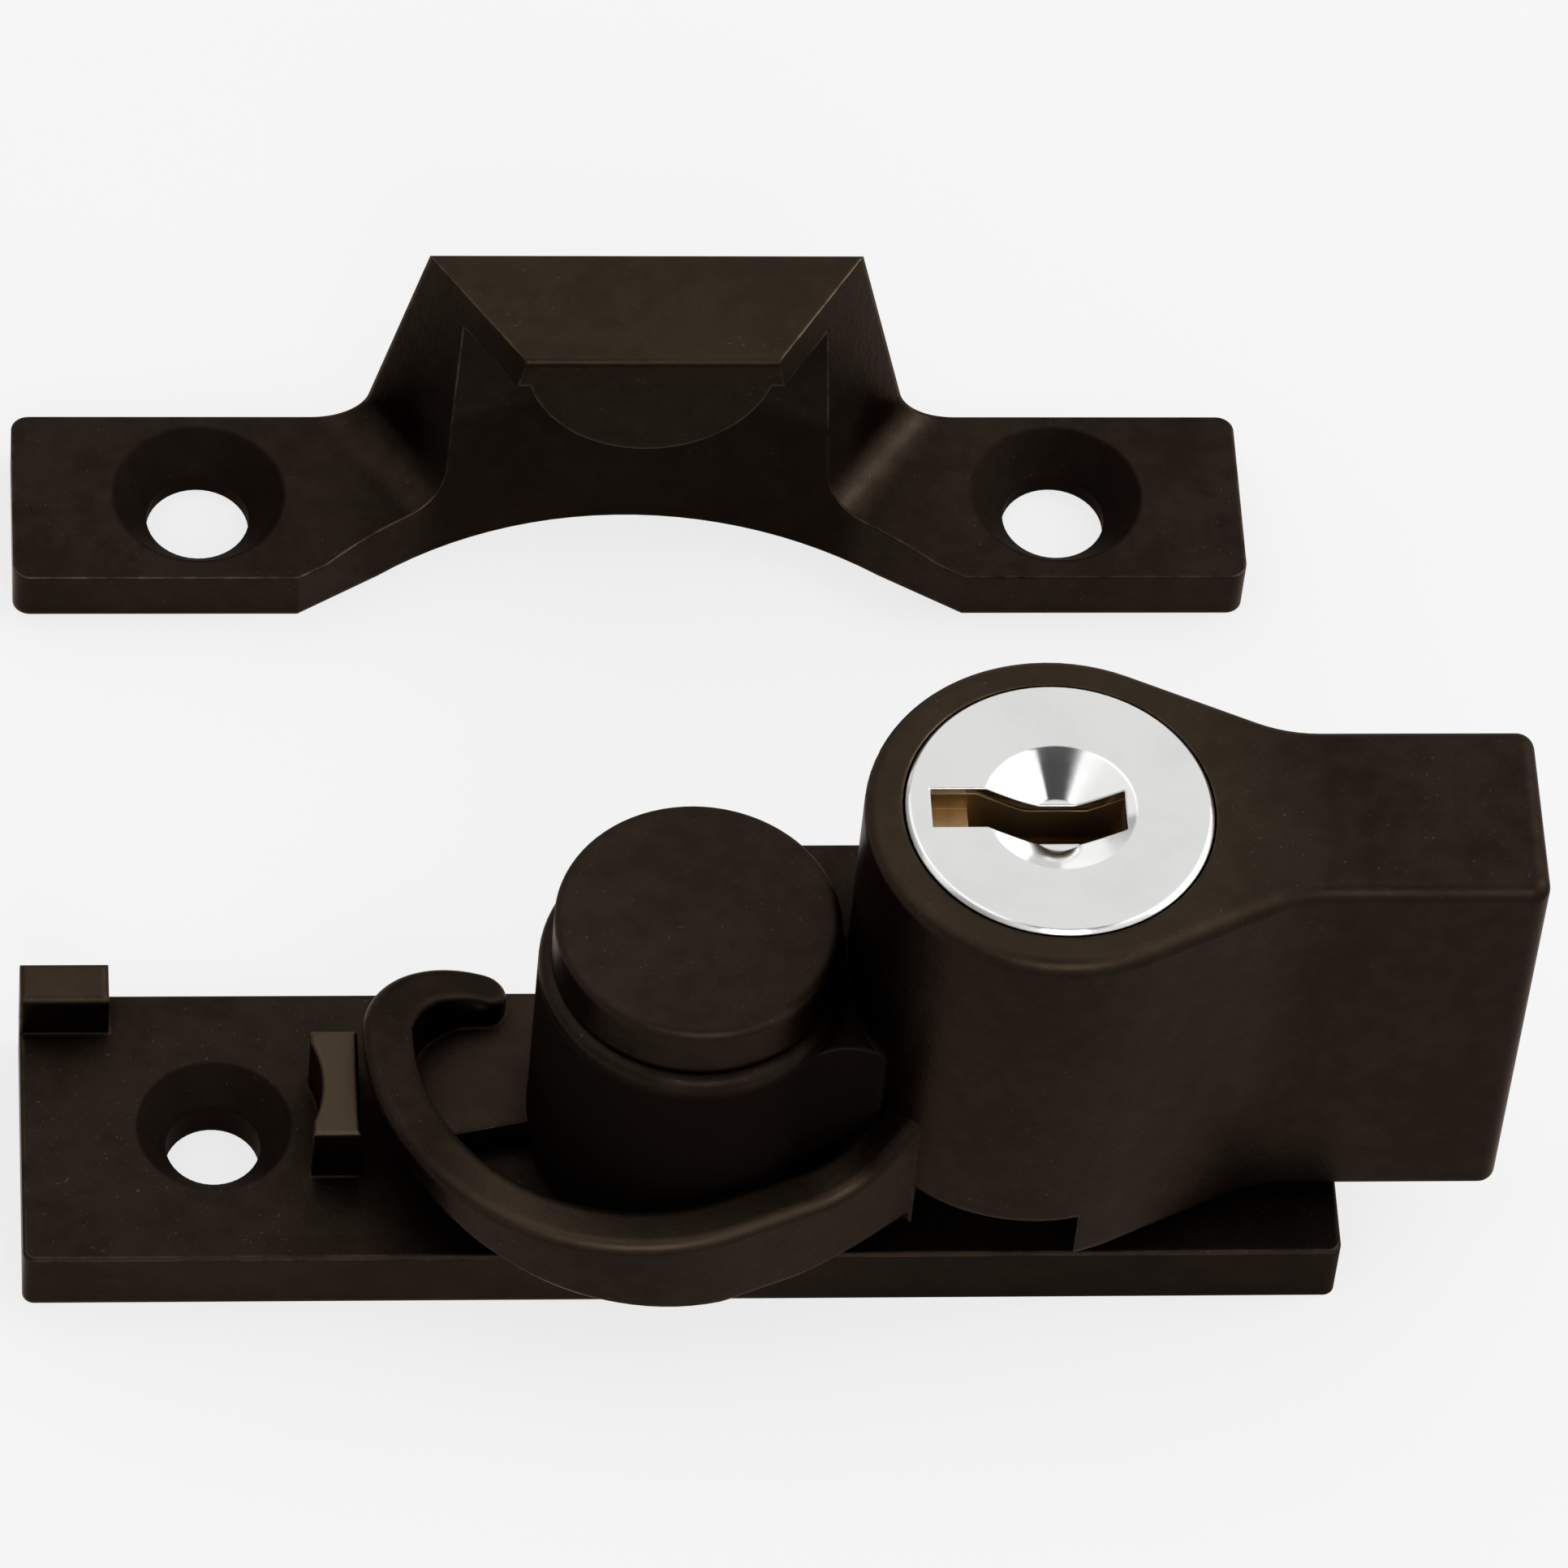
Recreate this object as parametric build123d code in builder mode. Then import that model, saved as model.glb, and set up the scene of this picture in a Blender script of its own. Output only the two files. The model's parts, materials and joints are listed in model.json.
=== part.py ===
"""Key-locking cam fastener for a sliding sash window, with its keeper.

The base plate is screwed to the meeting rail of one sash and the keeper to the
other.  A cast locking arm turns on a riveted pivot post.  Its cam rim is an
eccentric ring, nearest the post at the front, so half a turn of the arm draws
the keeper's nose in.  The thumb block then lies over the far end of the base,
against the stop nub, with the locking lug inside the lock boss.  A quarter turn
of the key swings the finger of the lock cam behind that lug.

Millimetres.  The origin is on the pivot axis at the underside of the base
plate, +X along the plate towards the thumb block of the open arm, +Y towards
the keeper, +Z up.
"""

import os
from math import cos, radians, sin, sqrt

from build123d import *

# ---- fits -------------------------------------------------------------------
running_gap = 0.05  # radial gap of a turning or sliding fit
seat_gap = 0.02  # gap between faces that rest on each other
edge_round = 0.4  # softened cast edges
fine_chamfer = 0.15  # broken machined edges
countersink_angle = 82

# ---- base plate -------------------------------------------------------------
base_length = 65.0
base_width = 16.0
base_thickness = 3.7
base_corner = 0.6
screw_spacing = 46.0
base_screw_radius = 2.35
base_sink_radius = 3.85
nub_length = 4.4
nub_depth = 2.35
nub_height = 2.8
lug_inner_radius = 15.95  # from the pivot axis, clear of the cam rim
lug_thickness = 2.3
lug_width = 6.2
lug_height = 3.7
lug_scallop_radius = 6.0
lug_scallop_depth = 0.5

# ---- pivot ------------------------------------------------------------------
shank_radius = 4.0
rivet_radius = 3.0
rivet_flare = 1.0
head_radius = 7.0
head_thickness = 3.2
head_round = 0.45
thrust_washer_radius = 6.6
thrust_washer_thickness = 0.3
spring_washer_radius = 5.9
spring_washer_sheet = 0.4
spring_washer_space = 1.1  # height that the dished washer takes up

# ---- locking arm ------------------------------------------------------------
hub_radius = 7.6
hub_height = 13.6
hub_round = 0.7
web_height = 12.5
web_rear = 7.6
web_front = -5.3
web_scoop = 0.6  # how far the front of the web curves in
boss_reach = 16.8  # from the pivot axis to the lock axis
boss_radius = 9.35
boss_clearance = 1.5  # from the base plate to the boss and the thumb block
arm_height = 24.25  # of the boss and thumb block
boss_round = 0.8
neck_angle = 65.0  # where the neck leaves the boss
neck_round = 7.0
thumb_reach = 40.2
thumb_width = 10.0
thumb_corner = 0.9
rim_center_x = -2.6
rim_center_y = 1.6
rim_outer_radius = 13.2
rim_thickness = 2.5
rim_height = 5.5
rim_round = 0.6
rim_foot_x = -1.0  # middle of the rim's foot, which is cut back to a smaller circle
rim_foot_y = 1.2
rim_foot_radius = 12.4
rim_foot_shift = 1.4  # how far that circle moves to the boss over the rim's height
rim_foot_spread = 4.1  # and how much its radius grows
rim_curl_angle = 180.0  # where the rim starts to curl in towards the hub
rim_curl_radius = 4.5
rim_curl_sweep = 95.0
ramp_heading = 32.0  # the way the curl's lead-in ramp falls
ramp_start = -11.5
ramp_slope = 0.42
rim_leave_angle = 292.0  # where the rim runs off straight to the boss
rim_run = 10.0
flare_start = 4.0  # along that run; from here the rim climbs to the boss
flare_radius = 4.0
flare_angle = 55.0
deck_height = 1.15
deck_rear = 6.9
deck_front_start = -2.4  # of the deck's front edge, at the rim
deck_front_end = 0.8  # and at the pivot

# ---- lock barrel ------------------------------------------------------------
housing_radius = 7.2
housing_ledge = 0.65
plug_radius = 4.95
face_radius = 7.45
face_gap = 0.1
face_sheet = 0.4
face_stand = 0.25  # the face stands proud of the boss by this much
flange_thickness = 1.5
flange_slot_floor = 0.3  # left under the shoulder end of the keyway
dish_radius = 3.7
dish_floor_radius = 1.5
dish_depth = 1.4
keyway_width = 2.3
keyway_short_side = 3.2
keyway_long_side = 6.2
keyway_blade_side = 4.3
wafer_count = 4
wafer_pitch = 2.4
wafer_thickness = 0.9
wafer_width = 4.4
wafer_travel = 0.5
wafer_window = 6.4
wafer_window_gap = 0.2
wafer_window_step = 0.35  # between the windows' places, the lock's code
groove_spare = 0.2
wafer_first_drop = 2.2  # from the flange to the top wafer
wafer_tab = 1.3
wafer_tab_length = 1.0
wafer_spring_radius = 0.42
wafer_spring_length = 2.4
wafer_spring_coils = 3
wafer_spring_valley = 0.3  # radius between the coils
seam_pin_radius = 0.7
seam_pin_length = 7.0

# ---- lock cam ---------------------------------------------------------------
cam_plate = 1.6
cam_hub_radius = 3.4
cam_over_lug = 0.45
cam_to_housing = 0.15
finger_orbit = 4.6
finger_radius = 1.0
finger_drop = 2.3
tail_radius = 2.6
tail_flat = 1.8
tail_entry = 0.85
cam_screw_radius = 1.25
cam_screw_head_radius = 2.1
cam_screw_length = 6.0
cam_screw_slot = 0.5
cam_screw_short = 0.3  # the screw stops short of its hole's end

# ---- notch in the boss for the lug ------------------------------------------
notch_inner = 11.0
notch_outer = 18.9
notch_height = 3.3

# ---- keeper -----------------------------------------------------------------
keeper_length = 63.7
keeper_width = 10.6
keeper_thickness = 3.0
keeper_corner = 0.9
keeper_x = -0.6
keeper_front = 34.9
keeper_screw_spacing = 44.5
keeper_screw_line = 5.5  # from the front edge of the keeper
keeper_screw_radius = 2.65
keeper_sink_radius = 4.4
throat_radius = 23.0
throat_depth = 6.5
throat_half_arc = 13.0
throat_half_mouth = 17.2
throat_lean = 2.8  # how far the throat's wall leans back under the roof
hood_height = 16.1
hood_offset = 0.45  # of the hood's middle from the plate's
hood_front = 3.6
hood_rear_half_bottom = 14.3
hood_front_half_bottom = 9.0
hood_rear_half_top = 11.1
hood_front_half_top = 6.4
hood_roof = 1.9
hood_foot_round = 2.4
nose_thickness = 1.5
nose_drop = 7.0

# ---- heights that follow from the above -------------------------------------
arm_floor = base_thickness + thrust_washer_thickness + seat_gap
hub_top = arm_floor + hub_height
head_bottom = hub_top + seat_gap
boss_bottom = base_thickness + boss_clearance
arm_top = boss_bottom + arm_height
lug_top = base_thickness + lug_height
cam_bottom = lug_top + cam_over_lug
cam_top = cam_bottom + cam_plate
housing_bottom = cam_top + cam_to_housing
face_top = arm_top + face_stand
flange_top = face_top - face_sheet
flange_bottom = flange_top - flange_thickness
housing_top = flange_bottom - running_gap
lock_axis = (boss_reach, 0.0)

os.makedirs("parts", exist_ok=True)


def write(builder, name):
    """Label a finished piece and write its STEP file."""
    builder.part.label = name
    export_step(builder.part, f"parts/{name}.step")


# ---- base plate: plate, stop nub, lug, two countersunk holes ----------------
with BuildPart() as base_plate:
    with BuildSketch():
        RectangleRounded(base_length, base_width, base_corner)
    extrude(amount=base_thickness)
    chamfer(base_plate.faces().sort_by(Axis.Z)[-1].outer_wire().edges(), fine_chamfer)
    with BuildSketch(Plane.XY.offset(base_thickness / 2)):
        with Locations(((nub_length - base_length) / 2, (base_width - nub_depth) / 2)):
            Rectangle(nub_length, nub_depth)
    extrude(amount=base_thickness / 2 + nub_height)
    fillet(base_plate.edges().group_by(Axis.Z)[-1], edge_round)
    with BuildSketch(Plane.XY.offset(base_thickness / 2)):
        with Locations((-lug_inner_radius - lug_thickness / 2, 0)):
            Rectangle(lug_thickness, lug_width)
        scallop_x = lug_inner_radius + lug_thickness - lug_scallop_depth + lug_scallop_radius
        with Locations((-scallop_x, 0)):
            Circle(lug_scallop_radius, mode=Mode.SUBTRACT)
    extrude(amount=base_thickness / 2 + lug_height)
    chamfer(base_plate.edges().group_by(Axis.Z)[-1], fine_chamfer)
    with Locations(Plane.XY.offset(base_thickness)):
        with GridLocations(screw_spacing, 1, 2, 1):
            CounterSinkHole(
                base_screw_radius,
                base_sink_radius,
                counter_sink_angle=countersink_angle,
            )
    Hole(rivet_radius + seat_gap)
    with BuildSketch(Plane.XZ):
        Polygon(
            (0, 0),
            (rivet_radius + rivet_flare + seat_gap, 0),
            (rivet_radius + seat_gap, rivet_flare),
            (0, rivet_flare),
            align=None,
        )
    revolve(axis=Axis.Z, mode=Mode.SUBTRACT)
write(base_plate, "base_plate")

# ---- pivot post: a stepped rivet with a broad flat head ---------------------
with BuildPart() as pivot_post:
    with BuildSketch(Plane.XZ):
        Polygon(
            (0, 0),
            (rivet_radius + rivet_flare, 0),
            (rivet_radius, rivet_flare),
            (rivet_radius, base_thickness),
            (shank_radius, base_thickness),
            (shank_radius, head_bottom),
            (head_radius, head_bottom),
            (head_radius, head_bottom + head_thickness),
            (0, head_bottom + head_thickness),
            align=None,
        )
    revolve(axis=Axis.Z)
    fillet(pivot_post.edges().group_by(Axis.Z)[-1], head_round)
write(pivot_post, "pivot_post")

# ---- washers on the pivot ---------------------------------------------------
with BuildPart() as thrust_washer:
    with BuildSketch(Plane.XY.offset(base_thickness)):
        Circle(thrust_washer_radius)
        Circle(shank_radius + running_gap, mode=Mode.SUBTRACT)
    extrude(amount=thrust_washer_thickness)
write(thrust_washer, "thrust_washer")

spring_floor = head_bottom - spring_washer_space
with BuildPart() as spring_washer:
    with BuildSketch(Plane.XZ):
        Polygon(
            (shank_radius + running_gap, head_bottom - seat_gap - spring_washer_sheet),
            (shank_radius + running_gap, head_bottom - seat_gap),
            (spring_washer_radius, spring_floor + seat_gap + spring_washer_sheet),
            (spring_washer_radius, spring_floor + seat_gap),
            align=None,
        )
    revolve(axis=Axis.Z)
write(spring_washer, "spring_washer")


# ---- locking arm: hub, web, cam rim, lock boss and thumb block, one casting --
def on_circle(center_x, center_y, radius, angle):
    """Point at an angle, in degrees, on a circle."""
    return (
        center_x + radius * cos(radians(angle)),
        center_y + radius * sin(radians(angle)),
    )


rim_mid_radius = rim_outer_radius - rim_thickness / 2
rim_curl = on_circle(rim_center_x, rim_center_y, rim_mid_radius, rim_curl_angle)
curl_center = on_circle(*rim_curl, rim_curl_radius, rim_curl_angle + 180)
curl_end = on_circle(*curl_center, rim_curl_radius, rim_curl_angle - rim_curl_sweep)
rim_leave = on_circle(rim_center_x, rim_center_y, rim_mid_radius, rim_leave_angle)
rim_heading = rim_leave_angle + 90
rim_end = on_circle(*rim_leave, rim_run, rim_heading)
neck_start = on_circle(*lock_axis, boss_radius, neck_angle)
neck_slope = cos(radians(neck_angle)) / sin(radians(neck_angle))
neck_end_x = neck_start[0] + (neck_start[1] - thumb_width / 2) / neck_slope
web_hub_x = sqrt(hub_radius**2 - web_front**2)
web_boss_x = boss_reach - sqrt(boss_radius**2 - web_front**2)
ramp_run = 3 * rim_curl_radius
ramp_plane = Plane(
    origin=(0, 0, arm_floor + rim_height),
    x_dir=(cos(radians(ramp_heading)), sin(radians(ramp_heading)), 0),
    z_dir=(sin(radians(ramp_heading)), -cos(radians(ramp_heading)), 0),
)
flare_plane = Plane(
    origin=(*rim_leave, arm_floor),
    x_dir=(cos(radians(rim_heading)), sin(radians(rim_heading)), 0),
    z_dir=(sin(radians(rim_heading)), -cos(radians(rim_heading)), 0),
)


# the boss, neck and thumb block are rounded before they join the rest
with BuildPart() as boss_block:
    with BuildSketch(Plane.XY.offset(boss_bottom)) as boss_outline:
        with BuildLine():
            Polyline(
                (neck_start[0], -neck_start[1]),
                (neck_end_x, -thumb_width / 2),
                (thumb_reach, -thumb_width / 2),
                (thumb_reach, thumb_width / 2),
                (neck_end_x, thumb_width / 2),
                neck_start,
                close=True,
            )
        make_face()
        neck_corners = [
            corner
            for corner in boss_outline.vertices()
            if abs(corner.X - neck_end_x) < seat_gap
        ]
        fillet(neck_corners, neck_round)
        fillet(boss_outline.vertices().group_by(Axis.X)[-1], thumb_corner)
        with Locations(lock_axis):
            Circle(boss_radius)
    extrude(amount=arm_height)
    fillet(boss_block.edges().group_by(Axis.Z)[-1], boss_round)
    fillet(boss_block.edges().group_by(Axis.Z)[0], edge_round)

# curled lead-in of the cam rim, with a ramp that falls towards its tip
with BuildPart() as curl_block:
    with BuildSketch(Plane.XY.offset(arm_floor)):
        with BuildLine():
            CenterArc(
                curl_center,
                rim_curl_radius,
                rim_curl_angle - rim_curl_sweep,
                rim_curl_sweep,
            )
            offset(amount=rim_thickness / 2)
        make_face()
    extrude(amount=rim_height)
    with BuildSketch(ramp_plane):
        Polygon(
            (ramp_start, 0),
            (ramp_start + ramp_run, -ramp_slope * ramp_run),
            (ramp_start + ramp_run, rim_height),
            (ramp_start, rim_height),
            align=None,
        )
    extrude(amount=ramp_run, both=True, mode=Mode.SUBTRACT)
    curl_edges = curl_block.edges().filter_by(GeomType.LINE, reverse=True)
    fillet(curl_edges.filter_by_position(Axis.Z, arm_floor + edge_round, arm_top), rim_round)

# the rest of the rim: a bar along an eccentric arc, then straight to the boss
with BuildPart() as rim_block:
    with BuildSketch(Plane.XY.offset(arm_floor)):
        with BuildLine():
            rim_arc = CenterArc(
                (rim_center_x, rim_center_y),
                rim_mid_radius,
                rim_curl_angle,
                rim_leave_angle - rim_curl_angle,
            )
            Line(rim_arc @ 1, rim_end)
            offset(amount=rim_thickness / 2)
        make_face()
    extrude(amount=rim_height)
    fillet(rim_block.edges().group_by(Axis.Z)[-1], rim_round)

# flare: the end of the rim climbs the side of the boss
with BuildPart() as flare_block:
    with BuildSketch(flare_plane):
        with BuildLine():
            flare_arc = JernArc((flare_start, rim_height), (1, 0), flare_radius, flare_angle)
            flare_line = PolarLine(flare_arc @ 1, flare_radius, flare_angle)
            Polyline(
                flare_line @ 1,
                ((flare_line @ 1).X, 0),
                (flare_start, 0),
                (flare_start, rim_height),
            )
        make_face()
    extrude(amount=rim_thickness / 2, both=True)
    flare_edges = [
        edge
        for edge in flare_block.edges()
        if edge.center().Z > arm_floor + rim_height + seat_gap
        and abs((edge.center() - flare_plane.origin).dot(flare_plane.z_dir)) > seat_gap
    ]
    fillet(flare_edges, rim_round)

# what the rim's lower outer edge is cut back with
with BuildPart() as rim_relief:
    with BuildSketch(Plane.XY.offset(arm_floor)):
        Circle(2 * rim_outer_radius)
    extrude(amount=rim_height)
    with BuildSketch(Plane.XY.offset(arm_floor)):
        with Locations((rim_foot_x, rim_foot_y)):
            Circle(rim_foot_radius)
    with BuildSketch(Plane.XY.offset(arm_floor + rim_height)):
        with Locations((rim_foot_x + rim_foot_shift, rim_foot_y)):
            Circle(rim_foot_radius + rim_foot_spread)
    loft(mode=Mode.SUBTRACT)

with BuildPart() as locking_arm:
    # hub sleeve
    with BuildSketch(Plane.XY.offset(arm_floor)):
        Circle(hub_radius)
    extrude(amount=hub_height)
    fillet(locking_arm.edges().group_by(Axis.Z)[-1], hub_round)
    # deck: the floor that ties the curl to the hub
    with BuildSketch(Plane.XY.offset(arm_floor)):
        Polygon(
            (0, deck_rear),
            (curl_end[0], deck_rear),
            on_circle(*curl_center, rim_curl_radius, rim_curl_angle - rim_curl_sweep / 2),
            rim_curl,
            (rim_center_x - rim_mid_radius, deck_front_start),
            (0, deck_front_end),
            align=None,
        )
    extrude(amount=deck_height)
    # web between the hub and the boss, scooped out at the front
    with BuildSketch(Plane.XY.offset(arm_floor)):
        with BuildLine():
            Polyline(
                (boss_reach, web_front),
                (boss_reach, web_rear),
                (0, web_rear),
                (0, web_front),
                (web_hub_x, web_front),
            )
            ThreePointArc(
                (web_hub_x, web_front),
                ((web_hub_x + web_boss_x) / 2, web_front + web_scoop),
                (web_boss_x, web_front),
            )
            Line((web_boss_x, web_front), (boss_reach, web_front))
        make_face()
    extrude(amount=web_height)
    add(curl_block)
    add(rim_block)
    add(flare_block)
    add(rim_relief, mode=Mode.SUBTRACT)
    add(boss_block)
    # pivot bore, with a recess for the spring washer
    with Locations(Plane.XY.offset(arm_floor)):
        Cylinder(
            shank_radius + running_gap,
            hub_height,
            align=(Align.CENTER, Align.CENTER, Align.MIN),
            mode=Mode.SUBTRACT,
        )
    with Locations(Plane.XY.offset(spring_floor)):
        Cylinder(
            spring_washer_radius + running_gap,
            hub_height,
            align=(Align.CENTER, Align.CENTER, Align.MIN),
            mode=Mode.SUBTRACT,
        )
    # bore for the barrel, a ledge under it, and the pocket that takes the lug
    with BuildSketch(Plane.XY.offset(arm_floor)):
        with Locations(lock_axis):
            Circle(housing_radius - housing_ledge)
    extrude(amount=arm_height, mode=Mode.SUBTRACT)
    with BuildSketch(Plane.XY.offset(housing_bottom - seat_gap)):
        with Locations(lock_axis):
            Circle(housing_radius + seat_gap)
    extrude(amount=arm_height, mode=Mode.SUBTRACT)
    with BuildSketch(Plane.XY.offset(housing_top - seat_gap)):
        with Locations(lock_axis):
            Circle(face_radius + face_gap)
    extrude(amount=arm_height, mode=Mode.SUBTRACT)
    with BuildSketch(Plane.XY.offset(housing_top - seam_pin_length)):
        with Locations((boss_reach, housing_radius)):
            Circle(seam_pin_radius + seat_gap)
    extrude(amount=seam_pin_length, mode=Mode.SUBTRACT)
    # notch through which the lug enters
    with BuildSketch(Plane.XY.offset(arm_floor)):
        Polygon(
            (notch_inner, -2 * boss_radius),
            (notch_outer, -2 * boss_radius),
            (notch_outer, 0),
            (notch_inner, 0),
            align=None,
        )
    extrude(amount=boss_bottom - arm_floor + notch_height, mode=Mode.SUBTRACT)
write(locking_arm, "locking_arm")

# ---- lock housing: the fixed sleeve of the barrel ---------------------------
groove_reach = plug_radius + running_gap + wafer_travel + groove_spare
with BuildPart() as lock_housing:
    with BuildSketch(Plane.XY.offset(housing_bottom)):
        with Locations(lock_axis):
            Circle(housing_radius)
            Circle(plug_radius + running_gap, mode=Mode.SUBTRACT)
            Rectangle(2 * groove_reach, wafer_width + 4 * running_gap, mode=Mode.SUBTRACT)
            Rectangle(wafer_width + 4 * running_gap, 2 * groove_reach, mode=Mode.SUBTRACT)
        with Locations((boss_reach, housing_radius)):
            Circle(seam_pin_radius + seat_gap, mode=Mode.SUBTRACT)
    extrude(amount=housing_top - housing_bottom)
write(lock_housing, "lock_housing")

# ---- seam pin: keys the housing to the boss ---------------------------------
with BuildPart() as seam_pin:
    with BuildSketch(Plane.XY.offset(housing_top - seam_pin_length + seat_gap)):
        with Locations((boss_reach, housing_radius)):
            Circle(seam_pin_radius)
    extrude(amount=seam_pin_length - 2 * seat_gap)
write(seam_pin, "seam_pin")

# ---- lock plug: flange, body with wafer slots, keyway, flatted tail ----------
wafer_heights = [
    flange_bottom - wafer_first_drop - index * wafer_pitch for index in range(wafer_count)
]
tab_center_y = wafer_width / 2 + wafer_tab / 2
tab_rest_x = -wafer_spring_length / 2 - wafer_tab_length / 2 - seat_gap
with BuildPart() as lock_plug:
    with BuildSketch(Plane.XY.offset(flange_bottom)):
        with Locations(lock_axis):
            Circle(face_radius - face_sheet - seat_gap)
    extrude(amount=flange_thickness - seat_gap)
    with BuildSketch(Plane.XY.offset(housing_bottom)):
        with Locations(lock_axis):
            Circle(plug_radius)
    extrude(amount=flange_bottom - housing_bottom)
    with BuildSketch(Plane.XY.offset(cam_top - tail_entry)):
        with Locations(lock_axis):
            Circle(tail_radius)
            Rectangle(2 * tail_radius, 2 * tail_flat, mode=Mode.INTERSECT)
    extrude(amount=housing_bottom - cam_top + tail_entry)
    # seat of the dished face
    with BuildSketch(Plane((boss_reach, 0, 0), x_dir=(1, 0, 0), z_dir=(0, -1, 0))):
        dish_wall = face_sheet + seat_gap
        Polygon(
            (0, face_top - dish_depth - dish_wall),
            (dish_floor_radius + dish_wall, face_top - dish_depth - dish_wall),
            (dish_radius + dish_wall, flange_top - seat_gap),
            (0, flange_top - seat_gap),
            align=None,
        )
    revolve(axis=Axis((boss_reach, 0, 0), (0, 0, 1)), mode=Mode.SUBTRACT)
    # keyway: the long side for the key's shoulder only cuts the flange
    keyway_floor = wafer_heights[-1] - wafer_pitch
    with BuildSketch(Plane.XY.offset(keyway_floor)):
        with Locations((boss_reach + (keyway_short_side - keyway_blade_side) / 2, 0)):
            Rectangle(keyway_short_side + keyway_blade_side, keyway_width)
    extrude(amount=arm_height, mode=Mode.SUBTRACT)
    with BuildSketch(Plane.XY.offset(flange_bottom + flange_slot_floor)):
        with Locations((boss_reach - keyway_long_side / 2, 0)):
            Rectangle(keyway_long_side, keyway_width)
    extrude(amount=arm_height, mode=Mode.SUBTRACT)
    # a cross slot and a spring pocket for each wafer
    for height in wafer_heights:
        with BuildSketch(Plane.XY.offset(height - wafer_thickness / 2 - running_gap)):
            with Locations(lock_axis):
                Rectangle(2 * groove_reach, wafer_width + 2 * running_gap)
            pocket_left = tab_rest_x - wafer_tab_length / 2 - wafer_travel - running_gap
            pocket_right = wafer_spring_length / 2 + seat_gap
            with Locations((boss_reach + (pocket_left + pocket_right) / 2, tab_center_y)):
                Rectangle(pocket_right - pocket_left, wafer_tab + 2 * running_gap)
        extrude(amount=wafer_thickness + 2 * running_gap, mode=Mode.SUBTRACT)
    # tapped hole for the cam screw
    with BuildSketch(Plane.XY.offset(cam_top - tail_entry)):
        with Locations(lock_axis):
            Circle(cam_screw_radius + seat_gap)
    extrude(amount=cam_screw_length, mode=Mode.SUBTRACT)
write(lock_plug, "lock_plug")

# ---- face cap: a plated cup over the plug's flange, with a dish --------------
with BuildPart() as face_cap:
    with BuildSketch(Plane((boss_reach, 0, 0), x_dir=(1, 0, 0), z_dir=(0, -1, 0))):
        Polygon(
            (0, face_top - dish_depth - face_sheet),
            (dish_floor_radius + face_sheet, face_top - dish_depth - face_sheet),
            (dish_radius + face_sheet, face_top - face_sheet),
            (face_radius - face_sheet, face_top - face_sheet),
            (face_radius - face_sheet, flange_bottom),
            (face_radius, flange_bottom),
            (face_radius, face_top - face_sheet / 2),
            (face_radius - face_sheet / 2, face_top),
            (dish_radius, face_top),
            (dish_floor_radius, face_top - dish_depth),
            (0, face_top - dish_depth),
            align=None,
        )
    revolve(axis=Axis((boss_reach, 0, 0), (0, 0, 1)))
    with BuildSketch(Plane.XY.offset(flange_bottom)):
        with Locations((boss_reach + (keyway_short_side - keyway_long_side) / 2, 0)):
            Rectangle(keyway_short_side + keyway_long_side, keyway_width)
    extrude(amount=arm_height, mode=Mode.SUBTRACT)
write(face_cap, "face_cap")

# ---- wafers, each with its own window, and their springs --------------------
for index, height in enumerate(wafer_heights):
    window_shift = wafer_window_step * (index % 3 - 1)
    with BuildPart() as wafer:
        with BuildSketch(Plane.XY.offset(height - wafer_thickness / 2)):
            with Locations(lock_axis):
                Circle(plug_radius - running_gap)
                Rectangle(2 * plug_radius, wafer_width, mode=Mode.INTERSECT)
            with Locations((boss_reach + tab_rest_x, tab_center_y)):
                Rectangle(wafer_tab_length, wafer_tab)
            with Locations((boss_reach + window_shift, 0)):
                Rectangle(
                    wafer_window,
                    keyway_width + 2 * wafer_window_gap,
                    mode=Mode.SUBTRACT,
                )
        extrude(amount=wafer_thickness)
    write(wafer, f"wafer_{index + 1}")

    # the coils are drawn as a ribbed bar
    spring_start = boss_reach - wafer_spring_length / 2
    coil_pitch = wafer_spring_length / wafer_spring_coils
    with BuildPart() as wafer_spring:
        with BuildSketch(Plane.XY.offset(height)):
            with BuildLine():
                crests = [(spring_start, tab_center_y)]
                for turn in range(wafer_spring_coils):
                    left = spring_start + turn * coil_pitch
                    crests.append((left, tab_center_y + wafer_spring_valley))
                    crests.append((left + coil_pitch / 2, tab_center_y + wafer_spring_radius))
                spring_end = spring_start + wafer_spring_length
                crests.append((spring_end, tab_center_y + wafer_spring_valley))
                crests.append((spring_end, tab_center_y))
                Polyline(*crests, close=True)
            make_face()
        revolve(axis=Axis((boss_reach, tab_center_y, height), (1, 0, 0)))
    write(wafer_spring, f"wafer_spring_{index + 1}")

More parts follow.
